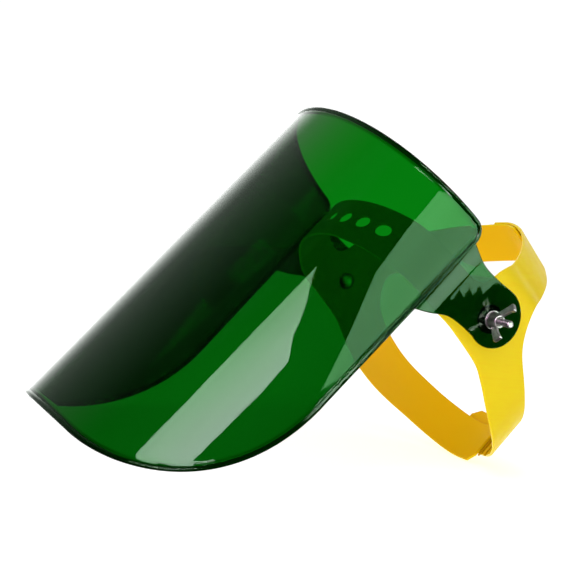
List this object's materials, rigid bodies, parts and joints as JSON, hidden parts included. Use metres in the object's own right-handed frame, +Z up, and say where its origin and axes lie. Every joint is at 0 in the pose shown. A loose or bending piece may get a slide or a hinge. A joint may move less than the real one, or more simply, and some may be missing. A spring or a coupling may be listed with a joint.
{
  "type": "face shield",
  "caption": "Face shield: a curved green see-through visor with a beaded border, pivoting on wing nuts at the temples of a strap headband.",
  "frame": {"origin": "middle of the box's bottom face: the floor under the resting shield", "axes": "+Z up from the floor it rests on, +X to the wearer's left along the pivot axis, -Y towards the visor's front; the shield lies tilted back on the visor's lower rim and the nape strap"},
  "size_m": [0.237, 0.3646, 0.2325],
  "materials": {
    "visor_green": "clear gloss, tinted green",
    "headband_yellow": "satin moulded",
    "zinc_bolt": "zinc plated",
    "zinc_cast": "cast, plated bright",
    "fibre_black": "matt"
  },
  "bodies": {
    "headband": {"headband": "headband_yellow", "pivot_bolt_left": "zinc_bolt", "pivot_bolt_right": "zinc_bolt", "friction_washer_left": "fibre_black", "friction_washer_right": "fibre_black", "washer_left": "zinc_bolt", "washer_right": "zinc_bolt"},
    "visor": {"visor": "visor_green"},
    "wing_nut_left": {"wing_nut_left": "zinc_cast"},
    "wing_nut_right": {"wing_nut_right": "zinc_cast"}
  },
  "joints": [
    {"name": "visor_swing", "type": "hinge", "parent": "headband", "child": "visor", "pos_m": [0, 0.08108, 0.1138], "axis": [-1, 0, 0], "range_deg": [-15, 95]},
    {"name": "wing_nut_left_turn", "type": "hinge", "parent": "headband", "child": "wing_nut_left", "pos_m": [0.1003, 0.08108, 0.1138], "axis": [1, 0, 0], "continuous": true},
    {"name": "wing_nut_right_turn", "type": "hinge", "parent": "headband", "child": "wing_nut_right", "pos_m": [-0.1003, 0.08108, 0.1138], "axis": [-1, 0, 0], "continuous": true}
  ]
}
